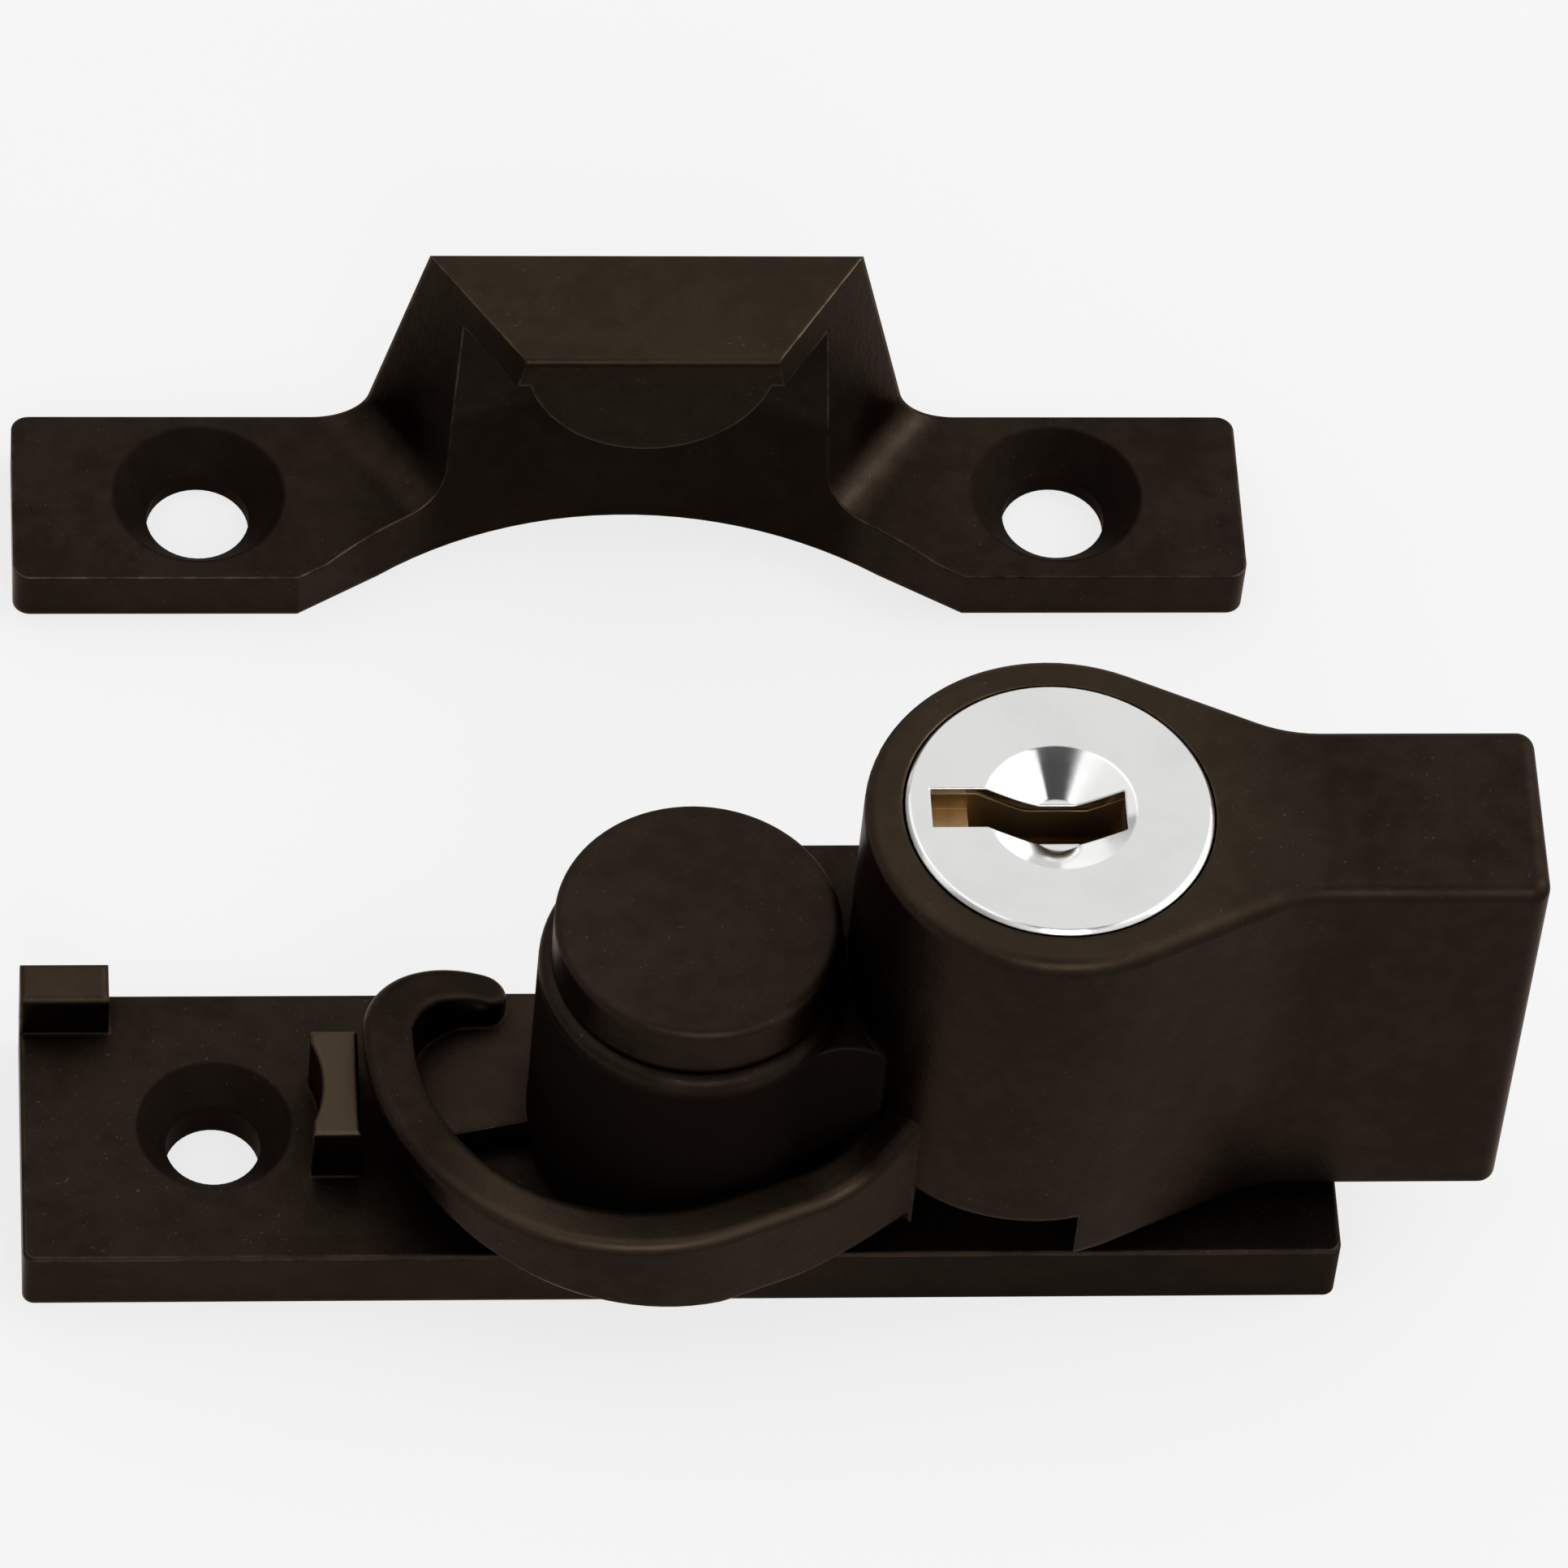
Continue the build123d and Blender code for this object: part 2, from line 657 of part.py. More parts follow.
# ---- lock cam: plate on the flatted tail, with a finger hanging down ---------
with BuildPart() as lock_cam:
    with BuildSketch(Plane.XY.offset(cam_bottom)):
        with Locations(lock_axis):
            Circle(cam_hub_radius)
        with Locations((boss_reach + finger_orbit, 0)):
            Circle(finger_radius)
        make_hull()
    extrude(amount=cam_plate)
    with BuildSketch(Plane.XY.offset(cam_bottom - finger_drop)):
        with Locations((boss_reach + finger_orbit, 0)):
            Circle(finger_radius)
    extrude(amount=finger_drop)
    with BuildSketch(Plane.XY.offset(cam_top - tail_entry - seat_gap)):
        with Locations(lock_axis):
            Circle(tail_radius + seat_gap)
            Rectangle(
                2 * tail_radius + 2 * seat_gap,
                2 * tail_flat + 2 * seat_gap,
                mode=Mode.INTERSECT,
            )
    extrude(amount=cam_plate, mode=Mode.SUBTRACT)
    with BuildSketch(Plane((boss_reach, 0, 0), x_dir=(1, 0, 0), z_dir=(0, -1, 0))):
        sink_top = cam_top - tail_entry
        Polygon(
            (0, cam_bottom),
            (cam_screw_head_radius + seat_gap, cam_bottom),
            (cam_screw_radius + seat_gap, sink_top),
            (0, sink_top),
            align=None,
        )
    revolve(axis=Axis((boss_reach, 0, 0), (0, 0, 1)), mode=Mode.SUBTRACT)
write(lock_cam, "lock_cam")

# ---- cam screw: countersunk, flush with the underside of the cam -------------
screw_top = cam_top - tail_entry + cam_screw_length - cam_screw_short
with BuildPart() as cam_screw:
    with BuildSketch(Plane((boss_reach, 0, 0), x_dir=(1, 0, 0), z_dir=(0, -1, 0))):
        Polygon(
            (0, cam_bottom),
            (cam_screw_head_radius, cam_bottom),
            (cam_screw_radius, cam_top - tail_entry),
            (cam_screw_radius, screw_top),
            (0, screw_top),
            align=None,
        )
    revolve(axis=Axis((boss_reach, 0, 0), (0, 0, 1)))
    with BuildSketch(Plane.XY.offset(cam_bottom)):
        with Locations(lock_axis):
            Rectangle(2 * cam_screw_head_radius, cam_screw_slot)
    extrude(amount=cam_screw_slot, mode=Mode.SUBTRACT)
write(cam_screw, "cam_screw")

# ---- keeper: flanged plate with a raised hood and a hanging nose -------------
arc_edge_y = throat_depth - throat_radius + sqrt(throat_radius**2 - throat_half_arc**2)
hood_x = keeper_x + hood_offset
keeper_plane = Plane((keeper_x, keeper_front, 0))
hood_plane = Plane((hood_x, keeper_front, 0))
with BuildPart() as keeper:
    with BuildSketch(keeper_plane):
        with Locations((0, keeper_width / 2)):
            RectangleRounded(keeper_length, keeper_width, keeper_corner)
    extrude(amount=keeper_thickness)
    # hood
    with BuildSketch(hood_plane.offset(keeper_thickness)):
        Polygon(
            (-hood_rear_half_bottom, keeper_width),
            (-hood_front_half_bottom, hood_front),
            (hood_front_half_bottom, hood_front),
            (hood_rear_half_bottom, keeper_width),
            align=None,
        )
    with BuildSketch(hood_plane.offset(hood_height)):
        Polygon(
            (-hood_rear_half_top, keeper_width),
            (-hood_front_half_top, hood_front),
            (hood_front_half_top, hood_front),
            (hood_rear_half_top, keeper_width),
            align=None,
        )
    loft()
    # broad fillets where the hood's sides stand on the plate
    foot_edges = [
        edge
        for edge in keeper.edges().filter_by(Axis.Z, reverse=True)
        if abs(edge.center().Z - keeper_thickness) < seat_gap
        and edge.center().Y > keeper_front + hood_front + seat_gap
        and edge.center().Y < keeper_front + keeper_width - seat_gap
        and abs(edge.center().X - hood_x) < hood_rear_half_bottom
        and abs(edge.center().X - hood_x) > hood_front_half_bottom
    ]
    fillet(foot_edges, hood_foot_round)
    # throat, whose round wall runs up to the roof and leans back as it rises
    with BuildSketch(keeper_plane):
        with BuildLine():
            Line((-throat_half_arc, arc_edge_y), (-throat_half_mouth, 0))
            Line((-throat_half_mouth, 0), (throat_half_mouth, 0))
            Line((throat_half_mouth, 0), (throat_half_arc, arc_edge_y))
            ThreePointArc(
                (throat_half_arc, arc_edge_y),
                (0, throat_depth),
                (-throat_half_arc, arc_edge_y),
            )
        make_face()
    extrude(amount=keeper_thickness, mode=Mode.SUBTRACT)
    with BuildSketch(keeper_plane):
        with Locations((0, throat_depth - throat_radius)):
            Circle(throat_radius)
    with BuildSketch(keeper_plane.offset(hood_height - hood_roof)):
        with Locations((0, throat_depth - throat_radius + throat_lean)):
            Circle(throat_radius)
    loft(mode=Mode.SUBTRACT)
    # nose: a round-ended lip that hangs from the front of the roof
    nose_front = keeper_front + hood_front
    with BuildSketch(Plane.XZ.offset(-nose_front)):
        with Locations((hood_x, hood_height)):
            Ellipse(hood_front_half_top, nose_drop)
            Rectangle(
                2 * hood_front_half_top,
                nose_drop,
                align=(Align.CENTER, Align.MAX),
                mode=Mode.INTERSECT,
            )
    extrude(amount=-nose_thickness)
    roof_front = [
        edge
        for edge in keeper.edges().filter_by(Axis.X)
        if abs(edge.center().Z - hood_height) < seat_gap
        and abs(edge.center().Y - nose_front) < seat_gap
    ]
    fillet(roof_front, edge_round)
    with Locations(keeper_plane.offset(keeper_thickness)):
        with Locations((0, keeper_screw_line)):
            with GridLocations(keeper_screw_spacing, 1, 2, 1):
                CounterSinkHole(
                    keeper_screw_radius,
                    keeper_sink_radius,
                    counter_sink_angle=countersink_angle,
                )
write(keeper, "keeper")
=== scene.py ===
"""Looks for the window sash lock: oil-rubbed bronze castings, chrome lock face, brass inside."""

import json
from math import radians

import bpy
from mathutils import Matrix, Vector


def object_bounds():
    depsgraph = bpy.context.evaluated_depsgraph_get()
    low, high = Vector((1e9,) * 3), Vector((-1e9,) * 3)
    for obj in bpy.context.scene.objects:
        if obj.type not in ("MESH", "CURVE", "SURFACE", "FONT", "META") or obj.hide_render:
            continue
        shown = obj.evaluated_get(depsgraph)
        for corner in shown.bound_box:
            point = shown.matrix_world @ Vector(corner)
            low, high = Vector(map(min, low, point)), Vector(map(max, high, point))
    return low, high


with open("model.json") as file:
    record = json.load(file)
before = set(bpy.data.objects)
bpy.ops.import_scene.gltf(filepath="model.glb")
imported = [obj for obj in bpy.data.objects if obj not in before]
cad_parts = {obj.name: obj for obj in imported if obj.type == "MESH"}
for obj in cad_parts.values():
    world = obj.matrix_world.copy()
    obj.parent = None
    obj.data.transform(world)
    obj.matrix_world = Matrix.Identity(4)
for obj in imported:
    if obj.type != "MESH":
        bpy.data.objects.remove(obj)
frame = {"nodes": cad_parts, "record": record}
cad_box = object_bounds()
nodes = frame["nodes"]
mounts = {mount["name"]: mount for mount in frame["record"]["mounts"]}
scene = bpy.context.scene
scene.view_settings.view_transform = "Standard"

# ---- colours ----------------------------------------------------------------
BRONZE_DARK = (0.0150, 0.0102, 0.0070)
BRONZE_MID = (0.0225, 0.0158, 0.0112)
# brown of worn bronze, also used as painted highlight on edges and some tops
BRONZE_WORN_AND_HIGHLIGHT = (0.1180, 0.0830, 0.0530)
# painted shade, laid on upright sides and in recesses and hollows
BRONZE_PAINTED_SHADE = (0.0045, 0.0030, 0.0022)
EDGE_TINT = (0.71, 0.64, 0.60, 1.0)  # of what the bronze reflects at a grazing angle
CHROME_BRIGHT = (0.82, 0.82, 0.81)
CHROME_HAZE = (0.76, 0.76, 0.755)
BRASS_CLEAN = (0.40, 0.28, 0.14)
BRASS_TARNISHED = (0.22, 0.14, 0.07)
ZINC_LIGHT = (0.52, 0.53, 0.55)
ZINC_GREY = (0.40, 0.40, 0.41)
PAPER_DARK = (0.80, 0.80, 0.80)
PAPER_LIGHT = (0.84, 0.84, 0.84)

# ---- scales of the bronze's noise, in features per metre --------------------
CLOUDS = 90.0
MOTTLING = 700.0
GRAIN = 2600.0
SPECKS = 5000.0

# ---- masks ------------------------------------------------------------------
# Each of these gives where it starts and ends in metres, and its level before and after.
LUG_TOP_Z = (0.0058, 0.0074, 0.0, 0.45)
DECK_RISE_Z = (0.0040, 0.0050, 0.0, 0.10)
DECK_FALL_Z = (0.0056, 0.0062, 1.0, 0.0)
RIM_RISE_Z = (0.0085, 0.0093, 0.0, 1.0)
RIM_FALL_Z = (0.0097, 0.0110, 1.0, 0.0)
RIM_CURL_X = (-0.0130, -0.0085, 0.0, 0.30)
BOSS_TOP_Z = (0.0270, 0.0285, 0.0, 1.0)
BOSS_RIGHT_X = (0.0200, 0.0320, 0.16, 0.0)
PIVOT_HEAD_Z = (0.0190, 0.0200, 0.0, 0.12)
PIVOT_FLAT_Z = (0.0206, 0.0208, 1.0, 0.35)
KEEPER_ROOF_Z = (0.0140, 0.0155, 0.0, 0.12)
RIM_END_X = (0.0060, 0.0075, 0.0, 1.0)
BELOW_BOSS_TOP_Z = (0.0150, 0.0165, 1.0, 0.0)
BASE_RIGHT_X = (-0.002, 0.012, 0.0, 0.45)
TROUGH_REACH = (0.0102, 0.0108, 1.0, 0.0)
TROUGH_BACK_Y = (-0.001, 0.004, 1.0, 0.0)
TROUGH_TOP_Z = (0.0162, 0.0172, 0.92, 0.0)
THROAT_HALF_X = (0.0100, 0.0120, 1.0, 0.0)
THROAT_FRONT_Y = (0.0374, 0.0380, 0.0, 1.0)
THROAT_TOP_Z = (0.0076, 0.0086, 0.55, 0.2)

# Screw holes, edges and tops, with lengths in metres.
BASE_SINK_RADIUS = 0.0038
KEEPER_SINK_RADIUS = 0.0044
SINK_BLUR = 0.0002
SINK_LEVEL = 0.6
WEAR_RADIUS = 0.0003
WEAR_TURN = (0.02, 0.22)  # one less the cosine of the turn, at no wear and at full wear
SPARED_SHARE = 0.85  # of the worn brown and painted highlight on edges, taken off where nothing rubs
TOP_NORMAL_Z = (0.05, 0.9)  # at an upright face and at a top
LOOKAROUND_SAMPLES = 8  # of the nodes that look for edges and walls


# ---- node helpers -----------------------------------------------------------
def new_material(name):
    """A node material with only an output and a Principled shader."""
    material = bpy.data.materials.new(name)
    material.use_nodes = True
    tree = material.node_tree
    shader = next(n for n in tree.nodes if n.type == "BSDF_PRINCIPLED")
    return material, tree, shader


def noise(tree, scale, detail=4.0, roughness=0.55, stretch=(1.0, 1.0, 1.0)):
    """3-D noise in object space, scale in features per metre."""
    coordinates = tree.nodes.new("ShaderNodeTexCoord")
    mapping = tree.nodes.new("ShaderNodeMapping")
    mapping.inputs["Scale"].default_value = stretch
    tree.links.new(coordinates.outputs["Object"], mapping.inputs["Vector"])
    texture = tree.nodes.new("ShaderNodeTexNoise")
    texture.inputs["Scale"].default_value = scale
    texture.inputs["Detail"].default_value = detail
    texture.inputs["Roughness"].default_value = roughness
    tree.links.new(mapping.outputs["Vector"], texture.inputs["Vector"])
    return texture.outputs["Fac"]


def ramp(tree, value, low_at, high_at, low_out=0.0, high_out=1.0):
    """Map a value smoothly from one range to another."""
    node = tree.nodes.new("ShaderNodeMapRange")
    node.interpolation_type = "SMOOTHSTEP"
    node.inputs["From Min"].default_value = low_at
    node.inputs["From Max"].default_value = high_at
    node.inputs["To Min"].default_value = low_out
    node.inputs["To Max"].default_value = high_out
    tree.links.new(value, node.inputs["Value"])
    return node.outputs["Result"]


def calc(tree, operation, first, second=0.0):
    """One Math node; either input may be a number."""
    node = tree.nodes.new("ShaderNodeMath")
    node.operation = operation
    for socket, value in zip(node.inputs, (first, second)):
        if isinstance(value, (int, float)):
            socket.default_value = value
        else:
            tree.links.new(value, socket)
    return node.outputs["Value"]


def times(tree, first, *others):
    """Product of values, any of which may be a number."""
    for other in others:
        first = calc(tree, "MULTIPLY", first, other)
    return first


def plus(tree, first, *others):
    """Sum of values, any of which may be a number."""
    for other in others:
        first = calc(tree, "ADD", first, other)
    return first


def without(tree, value):
    """One less the value."""
    return calc(tree, "SUBTRACT", 1.0, value)


def length(tree, first, second):
    """Length of the vector with these two parts."""
    return calc(tree, "SQRT", plus(tree, times(tree, first, first), times(tree, second, second)))


def mix(tree, factor, first, second):
    """Mix two colours; either may be a tuple."""
    node = tree.nodes.new("ShaderNodeMix")
    node.data_type = "RGBA"
    tree.links.new(factor, node.inputs["Factor"])
    for socket, value in ((node.inputs["A"], first), (node.inputs["B"], second)):
        if isinstance(value, tuple):
            socket.default_value = (*value, 1.0)
        else:
            tree.links.new(value, socket)
    return node.outputs["Result"]


def softened(tree, radius):
    """Normal of the surface with its sharp edges rounded to this radius."""
    bevel = tree.nodes.new("ShaderNodeBevel")
    bevel.samples = LOOKAROUND_SAMPLES
    bevel.inputs["Radius"].default_value = radius
    return bevel.outputs["Normal"]


def bump(tree, shader, height, strength, distance, edge_radius):
    """Drive the shader's normal from a height, over slightly softened edges."""
    node = tree.nodes.new("ShaderNodeBump")
    node.inputs["Strength"].default_value = strength
    node.inputs["Distance"].default_value = distance
    tree.links.new(height, node.inputs["Height"])
    tree.links.new(softened(tree, edge_radius), node.inputs["Normal"])
    tree.links.new(node.outputs["Normal"], shader.inputs["Normal"])


# ---- what kind of place a point is in ---------------------------------------
def edge_mask(tree):
    """1 along edges: where a rounded normal turns away from the true one."""
    geometry = tree.nodes.new("ShaderNodeNewGeometry")
    dot = tree.nodes.new("ShaderNodeVectorMath")
    dot.operation = "DOT_PRODUCT"
    tree.links.new(softened(tree, WEAR_RADIUS), dot.inputs[0])
    tree.links.new(geometry.outputs["Normal"], dot.inputs[1])
    return ramp(tree, without(tree, dot.outputs["Value"]), *WEAR_TURN)


def openness(tree, reach):
    """1 out in the open, falling to 0 deep in a recess."""
    node = tree.nodes.new("ShaderNodeAmbientOcclusion")
    node.samples = LOOKAROUND_SAMPLES
    node.inputs["Distance"].default_value = reach
    return node.outputs["AO"]


def upward_mask(tree):
    """1 on faces that look up and 0 on upright ones; the tops take the rubbed brown, and the
    upright ones painted shade.
    """
    geometry = tree.nodes.new("ShaderNodeNewGeometry")
    split = tree.nodes.new("ShaderNodeSeparateXYZ")
    tree.links.new(geometry.outputs["Normal"], split.inputs["Vector"])
    return ramp(tree, split.outputs["Z"], *TOP_NORMAL_Z)


def own_place(tree):
    """X, Y and Z sockets of the point in the object's own frame, in metres."""
    coordinates = tree.nodes.new("ShaderNodeTexCoord")
    split = tree.nodes.new("ShaderNodeSeparateXYZ")
    tree.links.new(coordinates.outputs["Object"], split.inputs["Vector"])
    return split.outputs["X"], split.outputs["Y"], split.outputs["Z"]


# ---- what hands and other pieces rub, with painted highlight on some tops ---
def rubbed_base(tree):
    """Tops of the lug and stop nub, which other pieces touch."""
    _, _, z = own_place(tree)
    return ramp(tree, z, *LUG_TOP_Z)


def arm_wear_and_highlight(tree):
    """Deck, top of the cam rim, where the keeper's nose passes, and top of the lock boss; on the
    rim the brown is also painted highlight, lighter towards the right.
    """
    x, _, z = own_place(tree)
    deck = times(tree, ramp(tree, z, *DECK_RISE_Z), ramp(tree, z, *DECK_FALL_Z))
    rim_top = times(tree, ramp(tree, z, *RIM_RISE_Z), ramp(tree, z, *RIM_FALL_Z))
    rim = times(tree, rim_top, ramp(tree, x, *RIM_CURL_X))
    boss = times(tree, ramp(tree, z, *BOSS_TOP_Z), ramp(tree, x, *BOSS_RIGHT_X))
    return plus(tree, rim, boss, deck)


def pivot_wear_and_highlight(tree):
    """Head of the pivot, where the palm passes, and most of all its rounded edge, whose brown is
    also painted highlight.
    """
    _, _, z = own_place(tree)
    return times(tree, ramp(tree, z, *PIVOT_HEAD_Z), ramp(tree, z, *PIVOT_FLAT_Z))


def rubbed_keeper(tree):
    """Roof of the keeper."""
    _, _, z = own_place(tree)
    return ramp(tree, z, *KEEPER_ROOF_Z)


def spared_arm(tree):
    """Low at edges that nothing rubs, which get neither worn brown nor painted highlight, 1
    elsewhere: the rim's end and the foot of the boss.
    """
    x, _, z = own_place(tree)
    spared = times(tree, ramp(tree, x, *RIM_END_X), ramp(tree, z, *BELOW_BOSS_TOP_Z))
    return without(tree, times(tree, spared, SPARED_SHARE))


# ---- where shade is painted into the hollows --------------------------------
def sink_painted_shade(tree, mount, radius):
    """Painted shade in the two countersunk holes of a mount."""
    middle, line, _ = mounts[mount]["pos_m"]
    half_spacing = mounts[mount]["dims"]["spacing_x_mm"] / 2000.0
    x, y, _ = own_place(tree)
    from_middle = calc(tree, "ABSOLUTE", calc(tree, "SUBTRACT", x, middle))
    along = calc(tree, "SUBTRACT", from_middle, half_spacing)
    reach = length(tree, along, calc(tree, "SUBTRACT", y, line))
    return ramp(tree, reach, radius, radius + SINK_BLUR, SINK_LEVEL, 0.0)


def base_painted_shade(tree, upright):
    """Painted shade in the holes of the base plate, and painted shadow on its sides below the thumb
    block.
    """
    x, _, _ = own_place(tree)
    sides = times(tree, ramp(tree, x, *BASE_RIGHT_X), upright)
    return calc(tree, "MAXIMUM", sides, sink_painted_shade(tree, "base_screws", BASE_SINK_RADIUS))


def trough_painted_shade(tree, upright):
    """Painted shade on the upright walls of the trough around the hub."""
    x, y, z = own_place(tree)
    near = ramp(tree, length(tree, x, y), *TROUGH_REACH)
    front = ramp(tree, y, *TROUGH_BACK_Y)
    deep = ramp(tree, z, *TROUGH_TOP_Z)
    return times(tree, near, front, deep, upright)


def keeper_painted_shade(tree, upright):
    """Painted shade in the holes of the keeper, and in its throat behind the nose."""
    x, y, z = own_place(tree)
    inside = ramp(tree, calc(tree, "ABSOLUTE", x), *THROAT_HALF_X)
    behind = ramp(tree, y, *THROAT_FRONT_Y)
    below = ramp(tree, z, *THROAT_TOP_Z)
    throat = times(tree, inside, upright, behind, below)
    return calc(tree, "MAXIMUM", throat, sink_painted_shade(tree, "keeper_screws", KEEPER_SINK_RADIUS))


# ---- materials --------------------------------------------------------------
def bronze(name, rubbed, painted_shade_at=None, spared=None, *, change, recess, edge_wear_and_highlight=0.7, soft=0.0003):
    """Oil-rubbed bronze on a fine sand casting: satin, nearly black, brown where rubbed, with
    painted highlight and shade.

    rubbed and spared are the functions above that say where the piece is rubbed,
    with some painted highlight, and where its edges aren't worn; the function after
    rubbed says where shade is painted into its hollows.  change is added to the
    noise's scale, so that no two castings match.  A wall nearer than recess, in
    metres, makes a surface count as less open, and darker with painted shade.  The
    keyword after recess says how brown the edges get, as worn brown and as painted
    highlight, and soft the radius that light sees on them.
    """
    material, tree, shader = new_material(name)
    broad = noise(tree, CLOUDS + change, detail=5.0)
    mottle = noise(tree, MOTTLING + 5.0 * change, detail=4.0, roughness=0.6)
    grain = noise(tree, GRAIN, detail=3.0, roughness=0.7)
    specks = noise(tree, SPECKS, detail=1.5, roughness=0.5)
    looks_up = upward_mask(tree)
    upright = without(tree, looks_up)
    open_air = openness(tree, recess)

    # clouding, then brown specks, brown rubbed tops partly painted as highlight, and painted shade
    # on the upright sides
    tone = plus(tree, times(tree, broad, 0.55), times(tree, mottle, 0.45))
    body = mix(tree, ramp(tree, tone, 0.38, 0.62), BRONZE_DARK, BRONZE_MID)
    speckled = times(tree, ramp(tree, specks, 0.68, 0.80), ramp(tree, broad, 0.4, 0.6, 0.2, 0.5))
    body = mix(tree, speckled, body, BRONZE_WORN_AND_HIGHLIGHT)
    body = mix(tree, times(tree, rubbed(tree), looks_up), body, BRONZE_WORN_AND_HIGHLIGHT)
    # painted shade: upright sides made darker than the tops
    body = mix(tree, times(tree, upright, 0.28), body, BRONZE_PAINTED_SHADE)

    # roughness in patches, a little more on tops and in the grain
    patches = ramp(tree, broad, 0.3, 0.7, 0.27, 0.35)
    gloss = plus(tree, patches, times(tree, looks_up, 0.10), times(tree, grain, 0.08))

    # worn brown along edges, also serving as painted highlight lines, in patches, and only where a
    # hand can reach them
    edges = times(tree, edge_mask(tree), ramp(tree, mottle, 0.35, 0.62, 0.15, edge_wear_and_highlight))
    edges = times(tree, edges, ramp(tree, open_air, 0.55, 0.85))
    if spared:
        edges = times(tree, edges, spared(tree))

    shader.inputs["Metallic"].default_value = 1.0
    shader.inputs["Specular Tint"].default_value = EDGE_TINT
    if painted_shade_at:
        # painted shade in the hollows: darker there, and dull: neither metal nor shine shows
        # through it
        shader.inputs["Specular IOR Level"].default_value = 0.0
        painted_shade_level = painted_shade_at(tree, upright)
        tree.links.new(without(tree, painted_shade_level), shader.inputs["Metallic"])
        body = mix(tree, painted_shade_level, body, BRONZE_PAINTED_SHADE)
        gloss = plus(tree, gloss, times(tree, painted_shade_level, 0.30))
        edges = times(tree, edges, ramp(tree, painted_shade_level, 0.0, 0.6, 1.0, 0.15))

    # painted shade: the deeper a point lies in a recess, the darker it is made
    body = mix(tree, ramp(tree, open_air, 0.2, 0.75, 1.0, 0.0), body, BRONZE_PAINTED_SHADE)
    # brown edges: worn bronze, and painted highlight lines along them
    tree.links.new(mix(tree, edges, body, BRONZE_WORN_AND_HIGHLIGHT), shader.inputs["Base Color"])
    tree.links.new(gloss, shader.inputs["Roughness"])
    height = plus(tree, times(tree, grain, 0.7), times(tree, broad, 1.6))
    bump(tree, shader, height, strength=0.42, distance=0.00006, edge_radius=soft)
    return material


def chrome(name):
    """Bright plate with fine wipe marks and a little haze."""
    material, tree, shader = new_material(name)
    broad = noise(tree, 260.0)
    wipes = noise(tree, 2200.0, detail=2.0, stretch=(0.06, 1.0, 1.0))
    tone = mix(tree, ramp(tree, broad, 0.4, 0.75), CHROME_BRIGHT, CHROME_HAZE)
    tree.links.new(tone, shader.inputs["Base Color"])
    shader.inputs["Metallic"].default_value = 1.0
    gloss = plus(tree, ramp(tree, broad, 0.35, 0.75, 0.07, 0.16), times(tree, wipes, 0.06))
    tree.links.new(gloss, shader.inputs["Roughness"])
    bump(tree, shader, wipes, strength=0.12, distance=0.00002, edge_radius=0.0002)
    return material


def brass(name):
    """Plain machined brass, turned and slightly tarnished."""
    material, tree, shader = new_material(name)
    turned = noise(tree, 3000.0, detail=2.0, stretch=(0.15, 0.15, 1.0))
    broad = noise(tree, 420.0)
    tone = mix(tree, ramp(tree, broad, 0.35, 0.7), BRASS_CLEAN, BRASS_TARNISHED)
    tree.links.new(tone, shader.inputs["Base Color"])
    shader.inputs["Metallic"].default_value = 1.0
    tree.links.new(ramp(tree, broad, 0.3, 0.7, 0.34, 0.5), shader.inputs["Roughness"])
    bump(tree, shader, turned, strength=0.3, distance=0.00004, edge_radius=0.0001)
    return material


def steel(name):
    """Zinc-plated steel for the washers, pin, springs, cam and its screw."""
    material, tree, shader = new_material(name)
    spangle = noise(tree, 1500.0, detail=3.0)
    broad = noise(tree, 300.0)
    tone = mix(tree, ramp(tree, spangle, 0.4, 0.65), ZINC_LIGHT, ZINC_GREY)
    tree.links.new(tone, shader.inputs["Base Color"])
    shader.inputs["Metallic"].default_value = 1.0
    tree.links.new(ramp(tree, broad, 0.3, 0.7, 0.26, 0.42), shader.inputs["Roughness"])
    bump(tree, shader, spangle, strength=0.2, distance=0.00003, edge_radius=0.0001)
    return material


def dress(node, material):
    """Give a CAD node one material on all its faces."""
    mesh = nodes[node].data
    mesh.materials.clear()
    mesh.materials.append(material)


base_bronze = bronze("bronze_base", rubbed_base, base_painted_shade, change=3.0, recess=0.004, edge_wear_and_highlight=0.9)
arm_bronze = bronze("bronze_arm", arm_wear_and_highlight, trough_painted_shade, spared_arm, change=11.0, recess=0.004)
pivot_bronze = bronze("bronze_pivot", pivot_wear_and_highlight, change=19.0, recess=0.006, soft=0.0006)
keeper_bronze = bronze(
    "bronze_keeper", rubbed_keeper, keeper_painted_shade, change=27.0, recess=0.003, edge_wear_and_highlight=0.75
)
barrel_brass = brass("barrel_brass")
plated_steel = steel("plated_steel")

dress("base_plate", base_bronze)
dress("locking_arm", arm_bronze)
dress("pivot_post", pivot_bronze)
dress("keeper", keeper_bronze)
dress("face_cap", chrome("chrome_face"))
for node in ("lock_housing", "lock_plug"):
    dress(node, barrel_brass)
for node in ("thrust_washer", "spring_washer", "seam_pin", "lock_cam", "cam_screw"):
    dress(node, plated_steel)
for index in range(1, 5):
    dress(f"wafer_{index}", barrel_brass)
    dress(f"wafer_spring_{index}", plated_steel)

# ---- floor ------------------------------------------------------------------
FLOOR_WHITE = 0.90  # what the camera and shiny surfaces see of the floor
FLOOR_SHARE = 0.85  # how much of that they see; the rest takes the shadow
FLOOR_HALF = 1.5
FLOOR_GAP = 0.0001


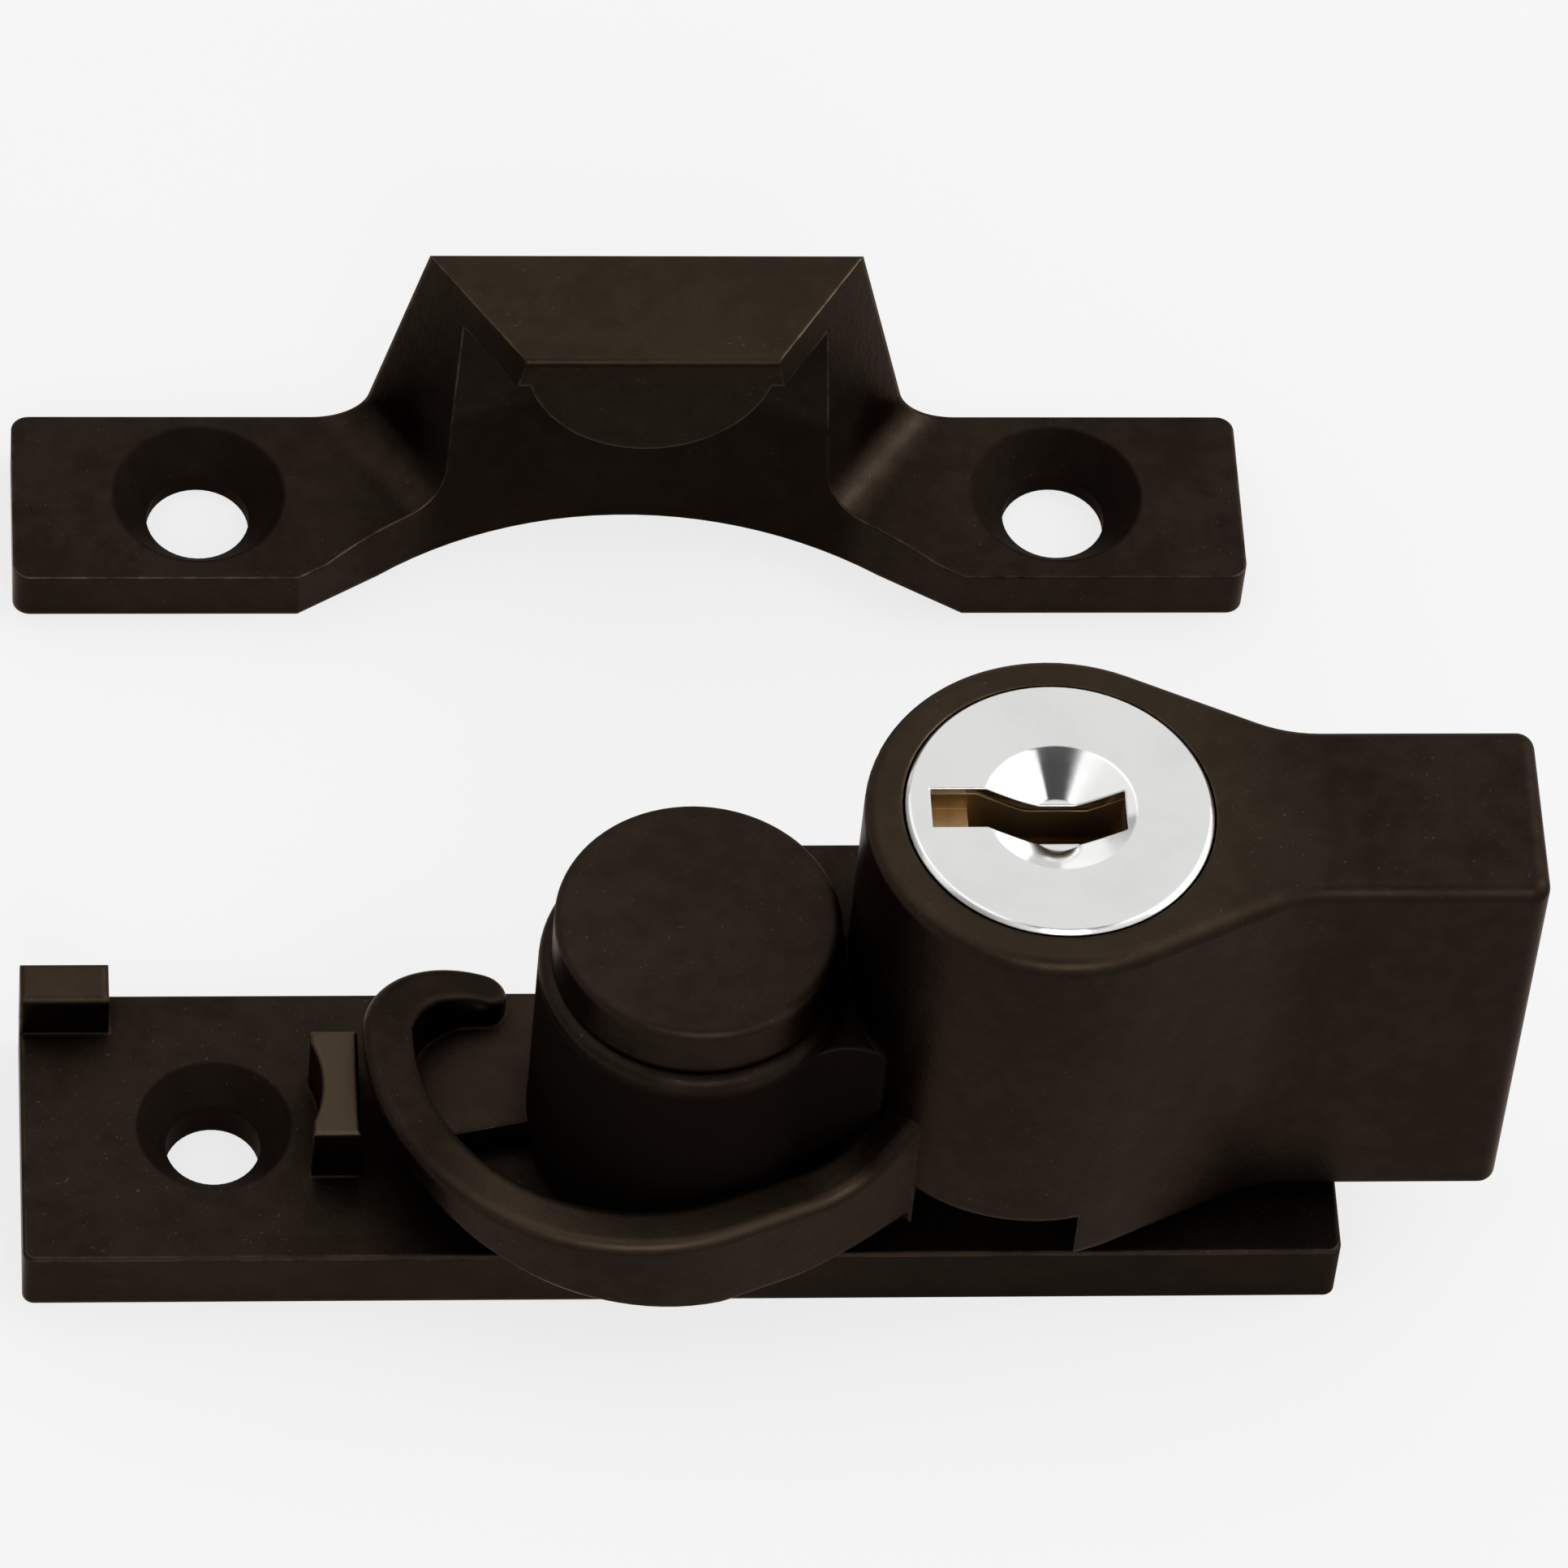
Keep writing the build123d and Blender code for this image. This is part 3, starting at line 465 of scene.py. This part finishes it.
def floor_material():
    """Pale paper: takes the object's shadow but shows as light grey to the camera."""
    material, tree, shader = new_material("paper")
    fibre = noise(tree, 30.0, detail=2.0)
    tree.links.new(mix(tree, fibre, PAPER_DARK, PAPER_LIGHT), shader.inputs["Base Color"])
    shader.inputs["Roughness"].default_value = 0.9
    glow = tree.nodes.new("ShaderNodeEmission")
    glow.inputs["Color"].default_value = (FLOOR_WHITE, FLOOR_WHITE, FLOOR_WHITE, 1.0)
    path = tree.nodes.new("ShaderNodeLightPath")
    seen = calc(tree, "MAXIMUM", path.outputs["Is Camera Ray"], path.outputs["Is Transmission Ray"])
    seen = calc(tree, "MAXIMUM", seen, path.outputs["Is Glossy Ray"])
    blend = tree.nodes.new("ShaderNodeMixShader")
    tree.links.new(times(tree, seen, FLOOR_SHARE), blend.inputs["Fac"])
    tree.links.new(shader.outputs["BSDF"], blend.inputs[1])
    tree.links.new(glow.outputs["Emission"], blend.inputs[2])
    output = next(n for n in tree.nodes if n.type == "OUTPUT_MATERIAL")
    tree.links.new(blend.outputs["Shader"], output.inputs["Surface"])
    return material


floor_z = cad_box[0][2] - FLOOR_GAP
floor_corners = [
    (side_x * FLOOR_HALF, side_y * FLOOR_HALF, floor_z)
    for side_x, side_y in ((-1, -1), (1, -1), (1, 1), (-1, 1))
]
floor_mesh = bpy.data.meshes.new("floor")
floor_mesh.from_pydata(floor_corners, [], [(0, 1, 2, 3)])
floor_mesh.materials.append(floor_material())
floor = bpy.data.objects.new("floor", floor_mesh)
scene.collection.objects.link(floor)

# ---- light ------------------------------------------------------------------
WORLD_LIGHT = 0.87
WORLD_DARK = 0.07
DARK_SIDE = (0.13, -0.36, 0.924)  # direction of the middle of the dark part
DARK_FADE = (0.905, 0.965)  # cosines of the angle to it between which it turns dark
LEFT_SHARE = 0.45  # level of the left wall, as a share of the others
LEFT_FADE = (-0.70, -0.20)  # X of the directions between which it gets lighter
LAMP_TARGET = (0.0, 0.02, 0.0)


def studio_world():
    """A white room with a greyer left wall, and dark above the front."""
    world = bpy.data.worlds.new("studio")
    world.use_nodes = True
    tree = world.node_tree
    coordinates = tree.nodes.new("ShaderNodeTexCoord")
    dot = tree.nodes.new("ShaderNodeVectorMath")
    dot.operation = "DOT_PRODUCT"
    dot.inputs[1].default_value = DARK_SIDE
    tree.links.new(coordinates.outputs["Generated"], dot.inputs[0])
    split = tree.nodes.new("ShaderNodeSeparateXYZ")
    tree.links.new(coordinates.outputs["Generated"], split.inputs["Vector"])
    level = ramp(tree, dot.outputs["Value"], *DARK_FADE, WORLD_LIGHT, WORLD_DARK)
    level = times(tree, level, ramp(tree, split.outputs["X"], *LEFT_FADE, LEFT_SHARE, 1.0))
    background = tree.nodes["Background"]
    background.inputs["Color"].default_value = (1.0, 1.0, 1.0, 1.0)
    tree.links.new(level, background.inputs["Strength"])
    return world


def soft_box(name, place, size, power):
    """A square area lamp, size in metres and power in watts, aimed at the object."""
    lamp = bpy.data.lights.new(name, "AREA")
    lamp.size = size
    lamp.energy = power
    holder = bpy.data.objects.new(name, lamp)
    holder.location = place
    aim = Vector(LAMP_TARGET) - Vector(place)
    holder.rotation_euler = aim.to_track_quat("-Z", "Y").to_euler()
    scene.collection.objects.link(holder)


scene.world = studio_world()
soft_box("key_left", place=(-0.45, 0.15, 0.60), size=0.90, power=1.5)
soft_box("fill_right", place=(0.55, 0.05, 0.42), size=0.80, power=2.4)
soft_box("front_strip", place=(0.06, -0.56, 0.41), size=0.26, power=1.1)
soft_box("streak_right", place=(0.60, 0.12, 0.45), size=0.20, power=1.5)

# ---- camera -----------------------------------------------------------------
CAMERA_PLACE = (-0.04234, -0.32152, 0.45813)
CAMERA_TURN = (37.118, -3.823, -3.061)  # degrees

camera_data = bpy.data.cameras.new("camera")
camera_data.sensor_width = 36.0
camera_data.lens = 258.5
camera_data.clip_start = 0.01
camera = bpy.data.objects.new("camera", camera_data)
camera.location = CAMERA_PLACE
camera.rotation_euler = [radians(angle) for angle in CAMERA_TURN]
scene.collection.objects.link(camera)
scene.camera = camera
